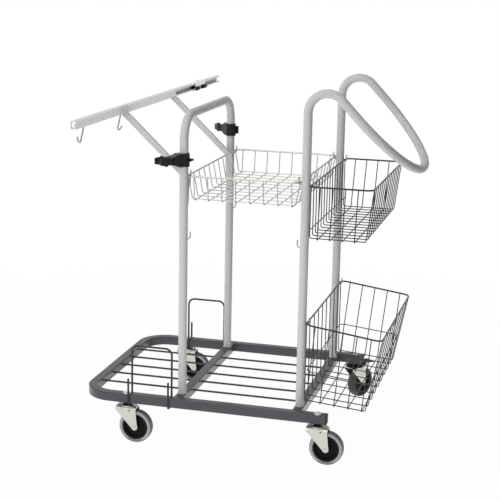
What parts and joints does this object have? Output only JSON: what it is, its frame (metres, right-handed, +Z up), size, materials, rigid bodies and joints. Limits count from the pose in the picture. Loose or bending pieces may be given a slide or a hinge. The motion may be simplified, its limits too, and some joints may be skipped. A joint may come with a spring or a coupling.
{
  "type": "janitor cart",
  "caption": "Open janitor cart on swivel casters with tube hoop, sloped push handle, lift-off wire tray and baskets, tool rail and mop clips.",
  "frame": {"origin": "on the floor below the middle of the outline", "axes": "+X from the rounded front end to the push handle, +Y along the tool rail away from the near side, +Z up"},
  "size_m": [0.9697, 1.346, 1.0745],
  "materials": {
    "frame_paint": "satin light grey powder coat",
    "base_paint": "semi-gloss anthracite powder coat",
    "dark_wire": "satin dark coat on wire",
    "zinc": "bright zinc plate",
    "black_plastic": "moulded black",
    "tyre_grey": "smooth grey rubber",
    "tyre_dark": "smooth dark rubber"
  },
  "bodies": {
    "frame": {"base_rail": "base_paint", "mid_cross_tube": "base_paint", "rear_cross_tube": "base_paint", "deck_wires": "dark_wire", "rail_end_caps": "black_plastic", "retainer_near": "dark_wire", "retainer_far": "dark_wire", "front_hoop": "frame_paint", "push_handle": "frame_paint", "post_hooks": "zinc", "arm_near": "frame_paint", "arm_far": "frame_paint", "tool_rail": "frame_paint", "tool_rail_cover": "frame_paint", "mop_clip_near": "black_plastic", "mop_clip_far": "black_plastic", "clip_screws": "black_plastic", "caster_spacers": "black_plastic", "caster_stems": "zinc", "stem_washers": "zinc", "stem_nuts": "zinc"},
    "tray": {"tray_rim": "zinc", "tray_long_wires_near": "zinc", "tray_long_wires_far": "zinc", "tray_cross_wires": "zinc"},
    "upper_basket": {"upper_rim": "dark_wire", "upper_long_wires_near": "dark_wire", "upper_long_wires_far": "dark_wire", "upper_cross_wires": "dark_wire", "upper_stay": "dark_wire"},
    "lower_basket": {"lower_rim": "dark_wire", "lower_long_wires": "dark_wire", "lower_cross_wires": "dark_wire", "lower_ring": "dark_wire"},
    "tool_grip": {"tool_slider": "zinc", "slider_pads": "black_plastic"},
    "hook_a": {"tool_hook_a": "zinc"},
    "hook_b": {"tool_hook_b": "zinc"},
    "caster_near_front": {"fork_near_front": "zinc", "axle_near_front": "zinc"},
    "wheel_near_front": {"hub_near_front": "black_plastic", "tyre_near_front": "tyre_grey"},
    "caster_far_front": {"fork_far_front": "zinc", "axle_far_front": "zinc"},
    "wheel_far_front": {"hub_far_front": "black_plastic", "tyre_far_front": "tyre_grey"},
    "caster_near_rear": {"fork_near_rear": "zinc", "axle_near_rear": "zinc"},
    "wheel_near_rear": {"hub_near_rear": "black_plastic", "tyre_near_rear": "tyre_grey"},
    "caster_far_rear": {"fork_far_rear": "zinc", "axle_far_rear": "zinc", "pedal_pin": "zinc"},
    "wheel_far_rear": {"hub_far_rear": "black_plastic", "tyre_far_rear": "tyre_dark"},
    "brake": {"brake_pedal": "black_plastic"}
  },
  "joints": [
    {"name": "tray_lift", "type": "slide", "parent": "frame", "child": "tray", "axis": [0, 0, 1], "range_m": [0, 0.02]},
    {"name": "upper_basket_lift", "type": "slide", "parent": "frame", "child": "upper_basket", "axis": [0, 0, 1], "range_m": [0, 0.08]},
    {"name": "lower_basket_lift", "type": "slide", "parent": "frame", "child": "lower_basket", "axis": [0, 0, 1], "range_m": [0, 0.1]},
    {"name": "tool_grip_slide", "type": "slide", "parent": "frame", "child": "tool_grip", "axis": [0, 1, 0], "range_m": [-0.2, 0.15]},
    {"name": "hook_a_turn", "type": "hinge", "parent": "frame", "child": "hook_a", "pos_m": [-0.37109, -0.6055, 0.977], "axis": [0, 0, 1], "continuous": true},
    {"name": "hook_b_turn", "type": "hinge", "parent": "frame", "child": "hook_b", "pos_m": [-0.37109, -0.3255, 0.977], "axis": [0, 0, 1], "continuous": true},
    {"name": "swivel_near_front", "type": "hinge", "parent": "frame", "child": "caster_near_front", "pos_m": [-0.33885, -0.3615, 0.11], "axis": [0, 0, 1], "continuous": true},
    {"name": "spin_near_front", "type": "hinge", "parent": "caster_near_front", "child": "wheel_near_front", "pos_m": [-0.30985, -0.3615, 0.05], "axis": [0, 1, 0], "continuous": true},
    {"name": "swivel_far_front", "type": "hinge", "parent": "frame", "child": "caster_far_front", "pos_m": [-0.33885, 0.2305, 0.11], "axis": [0, 0, 1], "continuous": true},
    {"name": "spin_far_front", "type": "hinge", "parent": "caster_far_front", "child": "wheel_far_front", "pos_m": [-0.30985, 0.2305, 0.05], "axis": [0, 1, 0], "continuous": true},
    {"name": "swivel_near_rear", "type": "hinge", "parent": "frame", "child": "caster_near_rear", "pos_m": [0.24215, -0.3615, 0.11], "axis": [0, 0, 1], "continuous": true},
    {"name": "spin_near_rear", "type": "hinge", "parent": "caster_near_rear", "child": "wheel_near_rear", "pos_m": [0.27115, -0.3615, 0.05], "axis": [0, 1, 0], "continuous": true},
    {"name": "swivel_far_rear", "type": "hinge", "parent": "frame", "child": "caster_far_rear", "pos_m": [0.24215, 0.2305, 0.11], "axis": [0, 0, 1], "continuous": true},
    {"name": "spin_far_rear", "type": "hinge", "parent": "caster_far_rear", "child": "wheel_far_rear", "pos_m": [0.25665, 0.25561, 0.05], "axis": [-0.866, 0.5, 0], "continuous": true},
    {"name": "brake_press", "type": "hinge", "parent": "caster_far_rear", "child": "brake", "pos_m": [0.26215, 0.26514, 0.1107], "axis": [-0.866, 0.5, 0], "range_deg": [0, 18]}
  ]
}
